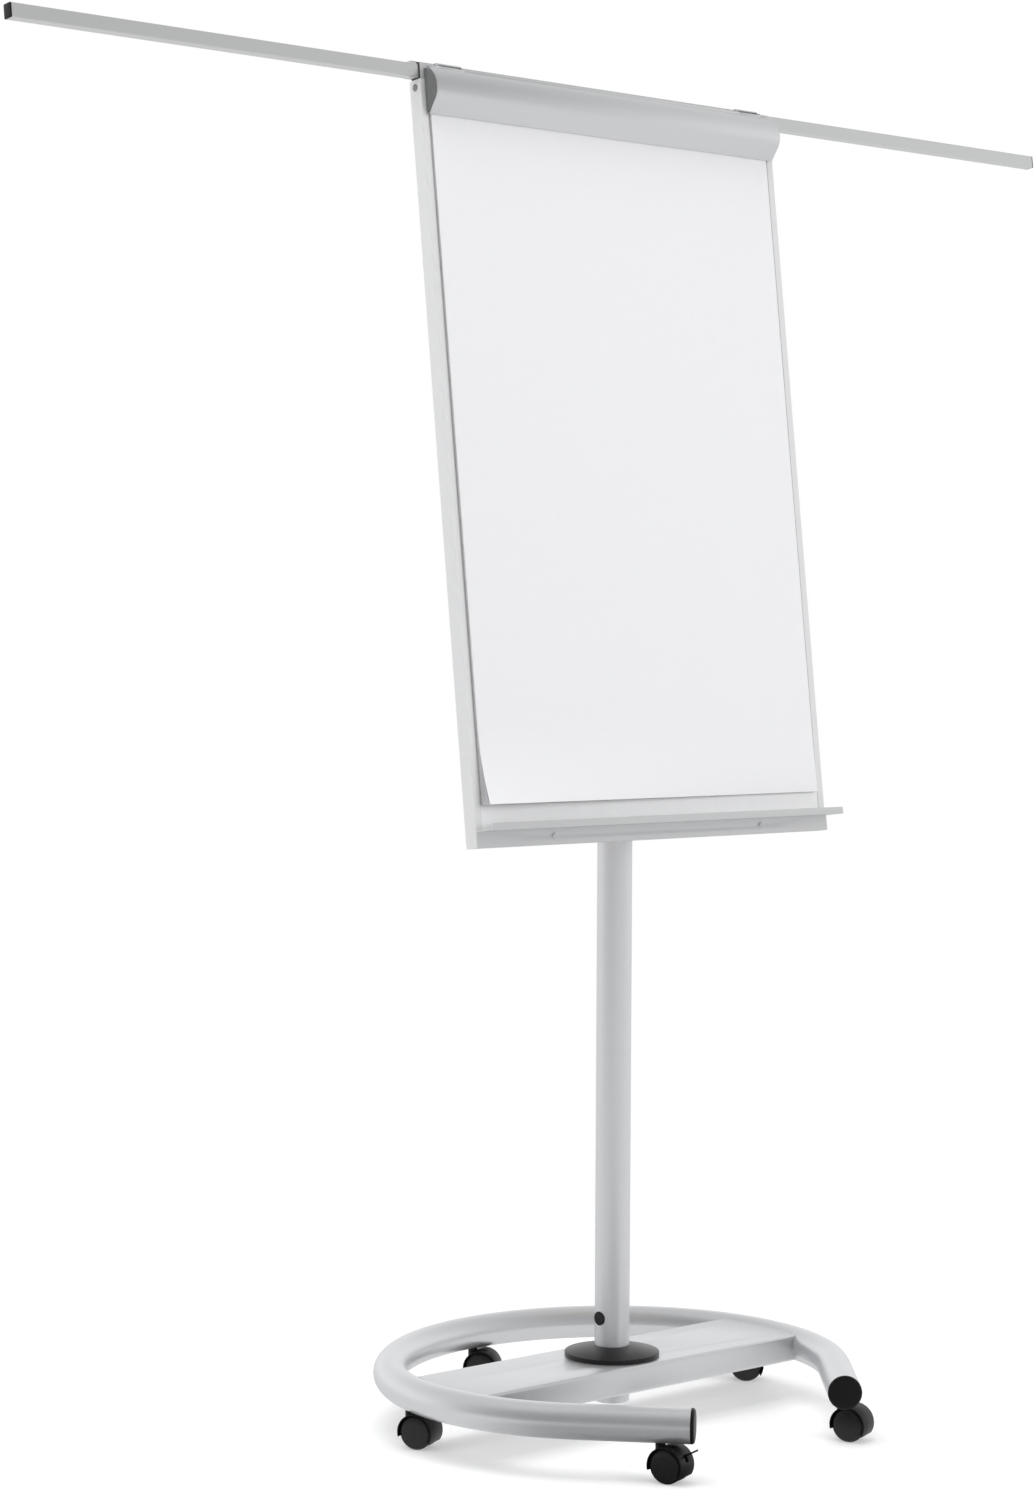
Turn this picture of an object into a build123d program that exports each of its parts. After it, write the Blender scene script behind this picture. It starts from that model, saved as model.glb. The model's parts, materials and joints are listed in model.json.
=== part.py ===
from build123d import *
import os
from math import cos, radians, sin, tan

os.makedirs("parts", exist_ok=True)

# A mobile flipchart easel, in millimetres. +X is to the right of someone who reads the board,
# -Y is towards the reader, +Z is up. The origin is on the floor, on the axis of the post.

# Fits and gaps
running_fit = 0.05          # radial, between a pin or tube and the bore it turns or slides in
slide_gap = 0.3             # each side, between an arm and its channel
body_gap = 0.3              # between other faces that pass each other

# Casters
wheel_diameter = 48
wheel_width = 13.4
wheel_rounding = 1.6
wheel_dish_depth = 0.8
wheel_dish_margin = 3.6
wheel_skin = 2.6            # solid outer wall of a wheel, which closes the axle bore
wheel_pocket_depth = 8
axle_diameter = 6
axle_end_gap = 0.4
web_thickness = 10           # the middle wall of the housing, between the wheels
wheel_side_gap = 0.4
hood_gap = 0.7
hood_wall = 1.4
hood_front_drop = 2         # how far the hood reaches below the axle on its open side
hood_back_drop = 17         # and on its closed side
caster_trail = 15
boss_diameter = 14
boss_height = 24
stem_diameter = 8
stem_grip = 15              # length of the stem inside its housing
stem_insertion = 20
caster_headroom = 1         # from the top of the hood to the ring
swivel_gap = 0.5
front_caster_inset = 41     # from the end of the ring's leg
side_caster_turn = 76.5     # how far round the ring, in degrees from the back
back_caster_swivel = 37     # how the casters happen to stand, in degrees
left_caster_swivel = 25
right_caster_swivel = 47
front_left_caster_swivel = 18.5
front_right_caster_swivel = 21

# Brake lever
lever_width = 7
lever_thickness = 2.6
lever_pivot_diameter = 3
lever_hub_diameter = 6
lever_pivot_angle = 146     # round the axle, from the open side
lever_pivot_radius = 19.5
lever_tilt = 29
lever_reach = 24.6
paddle_width = 15
paddle_length = 7
lever_slot_margin = 3.4

# Base ring and crossbar
ring_tube_diameter = 48
ring_tube_wall = 2
ring_back_radius = 332      # radii are to the middle of the tube
ring_back_turn = 54
ring_side_radius = 298
ring_side_turn = 77
ring_leg_length = 159
ring_back_reach = 309.5     # from the post's axis to the tube at the back
end_cap_dome = 4
end_cap_rim = 1.2
end_cap_insertion = 14
end_cap_wall = 2
socket_diameter = 15
socket_wall_above = 2
socket_recess = 0.4
crossbar_width = 152
crossbar_height = 38
crossbar_wall = 2
crossbar_corner = 4
crossbar_below_ring_top = 5
crossbar_end_inset = 1.5    # from the middle of the tube, where its ends are shaped to the ring

# Post, inner column and height clamp
post_diameter = 50
post_wall = 2
post_foot_drop = 26.5       # below the crossbar
post_top = 872
foot_plug_depth = 12
disc_diameter = 136
disc_rim_height = 6.5
disc_height = 16
disc_crown_diameter = 56
disc_edge = 1.2
release_hole_height = 56    # above the crossbar
release_hole_diameter = 18
release_plug_flange = 20
release_plug_bulge = 1.2
release_plug_depth = 5
column_diameter = 44
column_wall = 2
column_bottom = 330
column_top = 1186
slider_height = 40
collar_wall = 7
collar_height = 42
collar_above_post = 8
bush_height = 34
stud_diameter = 8
knob_diameter = 42
knob_thickness = 16
knob_lobes = 6
knob_standoff = 5
knob_rounding = 2.5

# Board and frame, measured along the board from its bottom edge
board_lean = 7
board_width = 672
board_bottom_height = 840.8
board_bottom_reach = 93.9   # of the front face's bottom edge, in front of the post's axis
stile_length = 1046
stile_width = 12
stile_depth = 23
stile_wall = 1.5
stile_corner = 0.8
button_diameter = 10
button_proud = 1.2
button_below_top = 10.6
panel_face_thickness = 0.6  # enamelled steel sheet
panel_core_thickness = 9.4
panel_recess = 1
panel_fit = 0.2
lower_rail_height = 21.5
rail_wall = 1.5
cross_rail_height = 40
lower_cross_rail = 180
upper_cross_rail = 298
carrier_plate_width = 170
carrier_plate_thickness = 4
carrier_wall = 4
carrier_cheek = 4
sleeve_overhang = 2         # of the sleeve, below the carrier's plate
bolt_inset = 20             # from the sides of the carrier's plate
bolt_diameter = 6
bolt_head_diameter = 12
bolt_head_height = 3.5

# Pen tray
tray_wall = 2.4
tray_reach = 37
lip_height = 10
tray_screw_diameter = 4
tray_screw_head = 8.6
tray_screw_head_height = 2.2
tray_screw_spacing = 398
tray_screw_height = 11.5

# Header with two channels, pull-out arms
arm_height = 18.6
arm_depth = 15
arm_wall = 1.2
arm_corner = 1
arm_stowed_reach = 12       # what stays outside when an arm is pushed home
left_arm_hold = 29.7        # what each arm keeps inside the header, pulled out as here
right_arm_hold = 48.7
arm_cap_flange = 2
arm_plug_depth = 14
arm_stop_length = 24
header_wall = 1.2
rear_channel_rise = 7.5
end_piece_thickness = 1
end_piece_insertion = 10

# Clamp cover, hooks and paper
cover_wall = 2
cover_inset = 8             # from the side of the board to the cover's sheet
hinge_reach = 9             # of the hinge axis, in front of the board's face
hinge_drop = 7.6            # of the hinge axis, below the header's top
hinge_pin_diameter = 2.6
barrel_diameter = 6
cover_bulge = 27.6
cover_bulge_height = -17    # heights of the cover's profile, from the top of the stiles
cover_shoulder_reach = 21
cover_shoulder_height = 2.8
cover_waist_reach = 20
cover_waist_height = -33
cover_lip_reach = 5.9
cover_lip_height = -49.2
cover_end_thickness = 3
cover_back_gap = 0.5
hinge_plate_length = 46
hinge_plate_inset = 42      # from the end of the cover to the middle of a hinge plate
hinge_plate_thickness = 1.6
hinge_plate_reach = 14      # behind the board's face
hinge_plate_front = 3
hinge_ear_thickness = 2
hinge_ear_height = 14
pad_side_gap = 15           # from the sides of the board
pad_foot_gap = 33.1         # above the floor of the tray
pad_thickness = 4
pad_below_header = 9.4
pad_shift = -3.2
backing_thickness = 1
hook_diameter = 5
hook_spacing = 510
hook_below_header = 26
hook_base_diameter = 16
hook_base_thickness = 1
hook_length = 12
hook_hole_gap = 0.5

# Worked out from the sizes above
wheel_radius = wheel_diameter / 2
hood_radius = wheel_radius + hood_gap + hood_wall
caster_half_width = web_thickness / 2 + wheel_side_gap + wheel_width
ring_underside = wheel_radius + hood_radius + caster_headroom
ring_tube_radius = ring_tube_diameter / 2
ring_height = ring_underside + ring_tube_radius
crossbar_top = ring_underside + ring_tube_diameter - crossbar_below_ring_top
crossbar_bottom = crossbar_top - crossbar_height
post_radius = post_diameter / 2
post_bore = post_radius - post_wall
post_bottom = crossbar_bottom - post_foot_drop
column_radius = column_diameter / 2
half_width = board_width / 2
inner_half_width = half_width - stile_width
channel_height = arm_height + 2 * slide_gap
channel_depth = arm_depth + 2 * slide_gap
header_height = channel_height + 2 * header_wall
header_top = stile_length + header_height
front_channel_depth = channel_depth + 2 * header_wall
rear_channel_depth = channel_depth + header_wall
header_half_length = half_width - end_piece_thickness
arm_length = board_width + arm_stowed_reach - end_piece_insertion - body_gap
left_arm_reach = arm_length - left_arm_hold
right_arm_reach = arm_length - right_arm_hold
cover_length = board_width - 2 * cover_inset
hinge_plate_spacing = cover_length - 2 * hinge_plate_inset
pad_width = board_width - 2 * pad_side_gap
pad_foot = lower_rail_height + tray_wall + pad_foot_gap
pad_length = stile_length - pad_below_header - pad_foot

# The board's own frame: x to the right, y up along the board, z forward out of its face
lean_up = (0, sin(radians(board_lean)), cos(radians(board_lean)))
up_board = Axis((0, 0, 0), lean_up)
forward = (0, -cos(radians(board_lean)), sin(radians(board_lean)))
board = Plane(
    origin=(0, -board_bottom_reach, board_bottom_height), x_dir=(1, 0, 0), z_dir=forward
)


def board_point(x, up, out=0):
    return board.from_local_coords(Vector(x, up, out))


def board_section(x, up=0, out=0):
    """A plane across the board at x, in which x is forward and y is up along the board.
    What is drawn there is extruded towards -X."""
    return Plane(origin=board_point(x, up, out), x_dir=forward, z_dir=(-1, 0, 0))


def save(builder, name):
    builder.part.label = name
    export_step(builder.part, f"parts/{name}.step")


# ---------------------------------------------------------------------------- base ring


def draw_ring_path():
    """The middle line of the ring's tube, as an open C, drawn inside a BuildLine."""
    back = JernArc((0, ring_back_reach), (1, 0), ring_back_radius, -ring_back_turn)
    side = JernArc(back @ 1, back % 1, ring_side_radius, -ring_side_turn)
    Line(side @ 1, side @ 1 + (side % 1) * ring_leg_length)
    mirror(about=Plane.YZ)


with BuildLine(Plane.XY.offset(ring_height)) as right_half:
    back_arc = JernArc((0, ring_back_reach), (1, 0), ring_back_radius, -ring_back_turn)
    side_arc = JernArc(back_arc @ 1, back_arc % 1, ring_side_radius, -ring_side_turn)
    leg = Line(side_arc @ 1, side_arc @ 1 + (side_arc % 1) * ring_leg_length)
leg_edge = right_half.edges().sort_by(Axis.Y)[0]
leg_foot, leg_root = sorted([leg_edge @ 0, leg_edge @ 1], key=lambda point: point.Y)
leg_direction = (leg_foot - leg_root).normalized()
leg_end = Plane(origin=leg_foot, z_dir=leg_direction)

side_centre_y = (
    ring_back_reach
    - ring_back_radius
    + (ring_back_radius - ring_side_radius) * cos(radians(ring_back_turn))
)
side_centre_x = (ring_back_radius - ring_side_radius) * sin(radians(ring_back_turn))
crossbar_half_length = side_centre_x + ring_side_radius - crossbar_end_inset
side_caster_x = side_centre_x + ring_side_radius * sin(radians(side_caster_turn))
side_caster_y = side_centre_y + ring_side_radius * cos(radians(side_caster_turn))
front_caster = leg_foot - leg_direction * front_caster_inset

caster_places = {
    "back": (0, ring_back_reach, back_caster_swivel),
    "left": (-side_caster_x, side_caster_y, left_caster_swivel),
    "right": (side_caster_x, side_caster_y, right_caster_swivel),
    "front_left": (-front_caster.X, front_caster.Y, front_left_caster_swivel),
    "front_right": (front_caster.X, front_caster.Y, front_right_caster_swivel),
}
braked = ("front_left", "right")
caster_points = [(x, y) for x, y, swivel in caster_places.values()]
mirrored_end = Plane(
    origin=(-leg_foot.X, leg_foot.Y, leg_foot.Z),
    z_dir=(-leg_direction.X, leg_direction.Y, 0),
)


def sweep_ring(radius):
    with BuildPart() as swept:
        with BuildLine(Plane.XY.offset(ring_height)):
            draw_ring_path()
        with BuildSketch(leg_end):
            Circle(radius)
        sweep()
    return swept.part


ring_outside = sweep_ring(ring_tube_radius)

with BuildPart() as base_ring:
    add(ring_outside)
    add(sweep_ring(ring_tube_radius - ring_tube_wall), mode=Mode.SUBTRACT)
    with BuildSketch(Plane.XY.offset(ring_underside - 1)):
        with Locations(*caster_points):
            Circle(socket_diameter / 2)
    extrude(amount=ring_tube_wall + 4, mode=Mode.SUBTRACT)
save(base_ring, "base_ring")

with BuildPart() as ring_end_caps:
    for end in (leg_end, mirrored_end):
        with BuildSketch(end.offset(-end_cap_insertion)):
            Circle(ring_tube_radius - ring_tube_wall)
            Circle(ring_tube_radius - ring_tube_wall - end_cap_wall, mode=Mode.SUBTRACT)
        extrude(amount=end_cap_insertion)
        with BuildSketch(end):
            Circle(ring_tube_radius)
        extrude(amount=end_cap_rim + end_cap_dome)
    dome_edges = ring_end_caps.faces().filter_by(GeomType.PLANE).group_by(Axis.Y)[0].edges()
    fillet(dome_edges, radius=end_cap_dome)
save(ring_end_caps, "ring_end_caps")

with BuildPart() as caster_sockets:
    with BuildSketch(Plane.XY.offset(ring_underside + socket_recess)):
        with Locations(*caster_points):
            Circle(socket_diameter / 2)
            Circle(stem_diameter / 2, mode=Mode.SUBTRACT)
    extrude(amount=stem_insertion + socket_wall_above)
save(caster_sockets, "caster_sockets")

with BuildPart() as crossbar:
    with BuildSketch(Plane.YZ.offset(-crossbar_half_length)):
        with Locations((0, (crossbar_top + crossbar_bottom) / 2)):
            RectangleRounded(crossbar_width, crossbar_height, crossbar_corner)
            RectangleRounded(
                crossbar_width - 2 * crossbar_wall,
                crossbar_height - 2 * crossbar_wall,
                crossbar_corner - crossbar_wall,
                mode=Mode.SUBTRACT,
            )
    extrude(amount=2 * crossbar_half_length)
    add(ring_outside, mode=Mode.SUBTRACT)
    with BuildSketch(Plane.XY.offset(crossbar_bottom - 1)):
        Circle(post_radius)
    extrude(amount=crossbar_height + 2, mode=Mode.SUBTRACT)
save(crossbar, "crossbar")

# ------------------------------------------------------------------------------ casters


def caster_frame(name):
    """Upright frame of a caster: origin under its swivel axis, -y is the way it trails."""
    x, y, swivel = caster_places[name]
    turn = radians(swivel)
    return Plane(origin=(x, y, 0), x_dir=(cos(turn), sin(turn), 0), z_dir=(0, 0, 1))


def caster_section(frame, x=0):
    """Plane across the wheels at x, centred on the axle: x is back towards the stem, y is up."""
    return Plane(
        origin=frame.from_local_coords(Vector(x, -caster_trail, wheel_radius)),
        x_dir=frame.y_dir,
        z_dir=frame.x_dir,
    )


def lever_axis():
    turn = radians(lever_pivot_angle)
    return lever_pivot_radius * cos(turn), lever_pivot_radius * sin(turn)


def make_housing(name, has_brake):
    frame = caster_frame(name)
    middle = caster_section(frame)
    side = caster_section(frame, -caster_half_width)
    width = 2 * caster_half_width
    with BuildPart() as housing:
        with BuildSketch(side):
            Circle(hood_radius)
        extrude(amount=width)
        with BuildSketch(frame.offset(wheel_radius + 4)):
            Circle(boss_diameter / 2)
        extrude(amount=ring_underside - swivel_gap - wheel_radius - 4)
        for start in (-caster_half_width, web_thickness / 2):
            with BuildSketch(caster_section(frame, start)):
                Circle(wheel_radius + hood_gap)
            extrude(amount=caster_half_width - web_thickness / 2, mode=Mode.SUBTRACT)
        with BuildSketch(side):
            with BuildLine():
                reach = 2 * hood_radius
                Polyline(
                    (reach, -hood_front_drop),
                    (-reach, -hood_front_drop - hood_back_drop),
                    (-reach, -reach),
                    (reach, -reach),
                    close=True,
                )
            make_face()
        extrude(amount=width, mode=Mode.SUBTRACT)
        with BuildSketch(frame.offset(ring_underside - stem_grip - body_gap)):
            Circle(stem_diameter / 2 + running_fit)
        extrude(amount=stem_grip + body_gap, mode=Mode.SUBTRACT)
        with BuildSketch(side):
            Circle(axle_diameter / 2)
        extrude(amount=width, mode=Mode.SUBTRACT)
        if has_brake:
            with BuildSketch(caster_section(frame, -lever_width / 2 - body_gap)):
                with Locations(lever_axis()):
                    Circle(lever_hub_diameter / 2 + body_gap)
                with BuildLine():
                    x, y = lever_axis()
                    Polyline(
                        (x + lever_slot_margin, y),
                        (x, y - lever_slot_margin),
                        (x - lever_reach, y - 2.0 * lever_slot_margin),
                        (x - lever_reach, y + 5.2 * lever_slot_margin),
                        close=True,
                    )
                make_face()
            extrude(amount=lever_width + 2 * body_gap, mode=Mode.SUBTRACT)
            with BuildSketch(caster_section(frame, -web_thickness / 2)):
                with Locations(lever_axis()):
                    Circle(lever_pivot_diameter / 2 + running_fit)
            extrude(amount=web_thickness, mode=Mode.SUBTRACT)
    save(housing, f"{name}_caster_housing")
    return middle


def make_axle(name):
    frame = caster_frame(name)
    half = caster_half_width - wheel_skin - axle_end_gap
    with BuildPart() as axle:
        with BuildSketch(caster_section(frame, -half)):
            Circle(axle_diameter / 2)
        extrude(amount=2 * half)
        chamfer(axle.edges(), length=0.6)
    save(axle, f"{name}_caster_axle")


def make_wheel(name, side_name, direction):
    """One wheel, revolved about the axle. Its outer face is dished and its inside hollow."""
    frame = caster_frame(name)
    inside = direction * (caster_half_width - wheel_width)
    outside = direction * caster_half_width
    hollow = direction * (caster_half_width - wheel_width + wheel_pocket_depth)
    skin = direction * (caster_half_width - wheel_skin)
    dish = direction * (caster_half_width - wheel_dish_depth)
    bore = axle_diameter / 2 + running_fit
    hub = bore + 3
    rim = wheel_radius - 4
    radial = Plane(
        origin=frame.from_local_coords(Vector(0, -caster_trail, wheel_radius)),
        x_dir=frame.x_dir,
        z_dir=-frame.y_dir,
    )
    with BuildPart() as wheel:
        with BuildSketch(radial):
            with BuildLine():
                Polyline(
                    (inside, bore),
                    (skin, bore),
                    (skin, 0),
                    (dish, 0),
                    (dish, wheel_radius - wheel_dish_margin - wheel_dish_depth),
                    (outside, wheel_radius - wheel_dish_margin),
                    (outside, wheel_radius),
                    (inside, wheel_radius),
                    (inside, rim),
                    (hollow, rim),
                    (hollow, hub),
                    (inside, hub),
                    close=True,
                )
            make_face()
        revolve(axis=Axis(radial.origin, radial.x_dir))
        tread = wheel.faces().filter_by(GeomType.CYLINDER).sort_by(SortBy.AREA)[-1]
        fillet(tread.edges().filter_by(GeomType.CIRCLE), radius=wheel_rounding)
    save(wheel, f"{name}_caster_{side_name}_wheel")


def make_brake_lever(name):
    frame = caster_frame(name)
    x, y = lever_axis()
    tilt = radians(lever_tilt)
    along = Vector(-cos(tilt), sin(tilt))
    across = Vector(sin(tilt), cos(tilt))
    root = Vector(x, y)
    half = lever_thickness / 2
    tip = root + along * lever_reach

    def corner(point, shift):
        return tuple(point + across * shift)[:2]

    with BuildPart() as lever:
        with BuildSketch(caster_section(frame, -lever_width / 2)):
            with Locations((x, y)):
                Circle(lever_hub_diameter / 2)
            with BuildLine():
                Polyline(
                    corner(root, -half),
                    corner(tip, -half),
                    corner(tip, half),
                    corner(root, half),
                    close=True,
                )
            make_face()
        extrude(amount=lever_width)
        heel = tip - along * paddle_length
        with BuildSketch(caster_section(frame, -paddle_width / 2)):
            with BuildLine():
                Polyline(
                    corner(heel, -half),
                    corner(tip, -half),
                    corner(tip, half),
                    corner(heel, half),
                    close=True,
                )
            make_face()
        extrude(amount=paddle_width)
        with BuildSketch(caster_section(frame, -web_thickness / 2)):
            with Locations((x, y)):
                Circle(lever_pivot_diameter / 2)
        extrude(amount=web_thickness)
    save(lever, f"{name}_brake_lever")


for caster in caster_places:
    make_housing(caster, caster in braked)
    make_axle(caster)
    make_wheel(caster, "left", -1)
    make_wheel(caster, "right", 1)
    if caster in braked:
        make_brake_lever(caster)

with BuildPart() as caster_stems:
    with BuildSketch(Plane.XY.offset(ring_underside - stem_grip)):
        with Locations(*caster_points):
            Circle(stem_diameter / 2)
    extrude(amount=stem_grip + stem_insertion)
save(caster_stems, "caster_stems")

# --------------------------------------------------------------- post and height clamp

release_height = crossbar_top + release_hole_height
release_side = Plane(origin=(-post_radius, 0, release_height), x_dir=(0, -1, 0), z_dir=(-1, 0, 0))
stud_height = post_top + collar_above_post - collar_height / 2
stud_side = Plane(origin=(0, column_radius, stud_height), x_dir=(1, 0, 0), z_dir=(0, 1, 0))
stud_hole = stud_diameter / 2 + running_fit

with BuildPart() as post:
    with BuildSketch(Plane.XY.offset(post_bottom)):
        Circle(post_radius)
        Circle(post_bore, mode=Mode.SUBTRACT)
    extrude(amount=post_top - post_bottom)
    with BuildSketch(release_side.offset(1)):
        Circle(release_hole_diameter / 2)
    extrude(amount=-post_wall - 4, mode=Mode.SUBTRACT)
    with BuildSketch(stud_side):
        Circle(stud_hole)
    extrude(amount=post_wall + 4, mode=Mode.SUBTRACT)
save(post, "post")

with BuildPart() as post_plugs:
    with BuildSketch(release_side.offset(release_plug_bulge)):
        Circle(release_plug_flange / 2)
    extrude(amount=-release_plug_bulge - 2)
    with BuildSketch(Plane.XY.offset(release_height - release_plug_flange)):
        Circle(post_radius)
    extrude(amount=2 * release_plug_flange, mode=Mode.SUBTRACT)
    fillet(post_plugs.edges().filter_by(GeomType.CIRCLE).sort_by(Axis.X)[0], radius=1)
    with BuildSketch(release_side.offset(release_plug_bulge / 2)):
        Circle(release_hole_diameter / 2)
    extrude(amount=-release_plug_bulge / 2 - release_plug_depth)
    with BuildSketch(Plane.XY.offset(post_bottom)):
        Circle(post_bore)
    extrude(amount=foot_plug_depth)
save(post_plugs, "post_plugs")

with BuildPart() as base_disc:
    with BuildSketch(Plane.XZ):
        with BuildLine():
            Polyline(
                (post_radius, crossbar_top),
                (disc_diameter / 2, crossbar_top),
                (disc_diameter / 2, crossbar_top + disc_rim_height),
                (disc_crown_diameter / 2, crossbar_top + disc_height),
                (post_radius, crossbar_top + disc_height),
                close=True,
            )
        make_face()
    revolve(axis=Axis.Z)
    rims = base_disc.edges().filter_by(GeomType.CIRCLE).group_by(SortBy.LENGTH)[-1]
    fillet(rims, radius=disc_edge)
save(base_disc, "base_disc")

with BuildPart() as post_bush:
    with BuildSketch(Plane.XY.offset(post_top - bush_height)):
        Circle(post_bore)
        Circle(column_radius + running_fit, mode=Mode.SUBTRACT)
    extrude(amount=bush_height)
    with BuildSketch(Plane.XY.offset(post_top)):
        Circle(post_radius)
        Circle(column_radius + running_fit, mode=Mode.SUBTRACT)
    extrude(amount=2)
    with BuildSketch(stud_side):
        Circle(stud_hole)
    extrude(amount=post_wall, mode=Mode.SUBTRACT)
save(post_bush, "post_bush")

with BuildPart() as clamp_collar:
    with BuildSketch(Plane.XY.offset(post_top + collar_above_post - collar_height)):
        Circle(post_radius + collar_wall)
        Circle(post_radius, mode=Mode.SUBTRACT)
    extrude(amount=collar_height)
    with BuildSketch(Plane.XY.offset(post_top + collar_above_post - 4)):
        Circle(post_radius)
        Circle(column_radius + body_gap, mode=Mode.SUBTRACT)
    extrude(amount=4)
    top_rim = clamp_collar.edges().filter_by(GeomType.CIRCLE).group_by(SortBy.LENGTH)[-1]
    fillet(top_rim, radius=2)
    with BuildSketch(stud_side):
        Circle(stud_hole)
    extrude(amount=post_wall + collar_wall + 4, mode=Mode.SUBTRACT)
save(clamp_collar, "clamp_collar")

with BuildPart() as column:
    with BuildSketch(Plane.XY.offset(column_bottom)):
        Circle(column_radius)
        Circle(column_radius - column_wall, mode=Mode.SUBTRACT)
    extrude(amount=column_top - column_bottom)
save(column, "column")

with BuildPart() as column_slider:
    with BuildSketch(Plane.XY.offset(column_bottom - slider_height / 2)):
        Circle(post_bore - running_fit)
    extrude(amount=slider_height / 2)
    with BuildSketch(Plane.XY.offset(column_bottom)):
        Circle(column_radius - column_wall)
    extrude(amount=slider_height / 2)
save(column_slider, "column_slider")

knob_start = post_radius + collar_wall + knob_standoff
knob_face = Plane(origin=(0, knob_start, stud_height), x_dir=(1, 0, 0), z_dir=(0, 1, 0))

with BuildPart() as clamp_stud:
    with BuildSketch(stud_side.offset(running_fit)):
        Circle(stud_diameter / 2)
    extrude(amount=knob_start + knob_thickness / 2 - column_radius)
save(clamp_stud, "clamp_stud")

with BuildPart() as clamp_knob:
    with BuildSketch(knob_face):
        Circle(knob_diameter / 2)
        with PolarLocations(knob_diameter / 2 + 3, knob_lobes):
            Circle(7, mode=Mode.SUBTRACT)
    extrude(amount=knob_thickness)
    fillet(clamp_knob.edges().group_by(Axis.Y)[-1], radius=knob_rounding)
    with BuildSketch(knob_face.offset(-knob_standoff + body_gap)):
        Circle(stud_diameter)
    extrude(amount=knob_standoff)
    with BuildSketch(stud_side.offset(running_fit)):
        Circle(stud_diameter / 2)
    extrude(amount=knob_start + knob_thickness / 2 - column_radius, mode=Mode.SUBTRACT)
save(clamp_knob, "clamp_knob")

# ------------------------------------------------------------------------- board frame


with BuildPart() as stiles:
    with BuildSketch(Plane(origin=board_point(0, 0), x_dir=(1, 0, 0), z_dir=lean_up)):
        with Locations(
            (-half_width + stile_width / 2, stile_depth / 2),
            (half_width - stile_width / 2, stile_depth / 2),
        ):
            RectangleRounded(stile_width, stile_depth, stile_corner)
            Rectangle(
                stile_width - 2 * stile_wall, stile_depth - 2 * stile_wall, mode=Mode.SUBTRACT
            )
    extrude(amount=stile_length)
save(stiles, "stiles")

with BuildPart() as stile_buttons:
    for side in (-1, 1):
        outward = Plane(
            origin=board_point(side * half_width, stile_length - button_below_top, -stile_depth / 2),
            x_dir=(0, -side, 0),
            z_dir=(side, 0, 0),
        )
        with BuildSketch(outward):
            Circle(button_diameter / 2)
        extrude(amount=button_proud, taper=20)
save(stile_buttons, "stile_buttons")

panel_width = 2 * (inner_half_width - panel_fit)
panel_height = stile_length - lower_rail_height - 2 * panel_fit
panel_middle = (lower_rail_height + stile_length) / 2


def make_sheet(name, front, thickness):
    with BuildPart() as sheet:
        with BuildSketch(board.offset(front)):
            with Locations((0, panel_middle)):
                Rectangle(panel_width, panel_height)
        extrude(amount=-thickness)
    save(sheet, name)


make_sheet("panel_face", -panel_recess, panel_face_thickness)
make_sheet("panel_core", -panel_recess - panel_face_thickness, panel_core_thickness)

with BuildPart() as lower_rail:
    with BuildSketch(board_section(inner_half_width)):
        with Locations((-stile_depth / 2, lower_rail_height / 2)):
            Rectangle(stile_depth, lower_rail_height)
            Rectangle(
                stile_depth - 2 * rail_wall, lower_rail_height - 2 * rail_wall, mode=Mode.SUBTRACT
            )
    extrude(amount=2 * inner_half_width)
    for x in (-tray_screw_spacing / 2, tray_screw_spacing / 2):
        with BuildSketch(Plane(origin=board_point(x, tray_screw_height, 1), x_dir=(1, 0, 0),
                               z_dir=forward)):
            Circle(tray_screw_diameter / 2)
        extrude(amount=-rail_wall - 2, mode=Mode.SUBTRACT)
save(lower_rail, "lower_rail")

cross_rail_front = panel_recess + panel_face_thickness + panel_core_thickness
cross_rail_depth = stile_depth - cross_rail_front
bolt_points = [
    (x, up + cross_rail_height / 2)
    for up in (lower_cross_rail, upper_cross_rail)
    for x in (-carrier_plate_width / 2 + bolt_inset, carrier_plate_width / 2 - bolt_inset)
]

with BuildPart() as cross_rails:
    for up in (lower_cross_rail, upper_cross_rail):
        with BuildSketch(board_section(inner_half_width, up)):
            with Locations((-cross_rail_front - cross_rail_depth / 2, cross_rail_height / 2)):
                Rectangle(cross_rail_depth, cross_rail_height)
                Rectangle(
                    cross_rail_depth - 2 * rail_wall,
                    cross_rail_height - 2 * rail_wall,
                    mode=Mode.SUBTRACT,
                )
        extrude(amount=2 * inner_half_width)
    with BuildSketch(board.offset(-stile_depth - 1)):
        with Locations(*bolt_points):
            Circle(bolt_diameter / 2)
    extrude(amount=rail_wall + 2, mode=Mode.SUBTRACT)
save(cross_rails, "cross_rails")

carrier_bottom = lower_cross_rail
carrier_height = upper_cross_rail + cross_rail_height - lower_cross_rail
sleeve_bottom = board_bottom_height + carrier_bottom * cos(radians(board_lean)) - sleeve_overhang

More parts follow.
